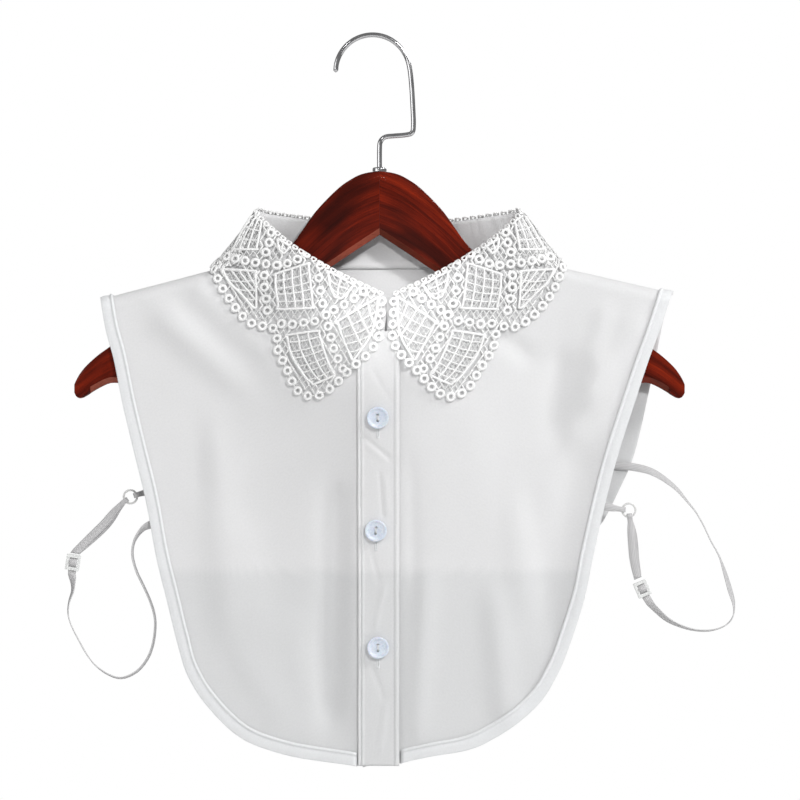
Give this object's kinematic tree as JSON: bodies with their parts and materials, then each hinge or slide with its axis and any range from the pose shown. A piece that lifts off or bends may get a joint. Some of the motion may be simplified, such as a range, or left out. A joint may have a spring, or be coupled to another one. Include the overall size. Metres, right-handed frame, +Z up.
{
  "type": "detachable lace collar on a wooden hanger",
  "caption": "Sleeveless button-front false collar with scalloped guipure lace falls and elastic side straps, hanging on a wooden coat hanger.",
  "frame": {"origin": "inside of the hook's crown, straight above its stem, where a rail holds the hanger", "axes": "+Z up along the stem, -Y the way the buttoned front faces, +X the wearer's left"},
  "size_m": [0.4628, 0.0547, 0.506],
  "materials": {
    "cloth": "matt white crepe, slightly see-through",
    "bound_edge": "matt white doubled crepe with stitched edges",
    "lace": "raised white guipure embroidery with open ground",
    "button": "glossy pale blue-white, faintly pearly",
    "elastic": "soft white ribbed elastic",
    "slider": "smooth white plastic",
    "ring": "smooth white coated wire",
    "varnished_wood": "gloss varnished red-brown mahogany",
    "chrome": "polished"
  },
  "bodies": {
    "root": {"hook": "chrome", "hook_nut": "chrome", "hanger_right": "varnished_wood", "hanger_left": "varnished_wood", "front_right": "cloth", "front_left": "cloth", "back": "cloth", "collar_stand": "cloth", "placket": "cloth", "front_right_band": "bound_edge", "front_left_band": "bound_edge", "back_band": "bound_edge", "lace_right": "lace", "lace_left": "lace", "button_1": "button", "button_2": "button", "button_3": "button", "right_strap": "elastic", "right_strap_fold": "elastic", "right_tab": "elastic", "right_slider": "slider", "right_ring": "ring", "left_strap": "elastic", "left_strap_fold": "elastic", "left_tab": "elastic", "left_slider": "slider", "left_ring": "ring"}
  },
  "joints": []
}
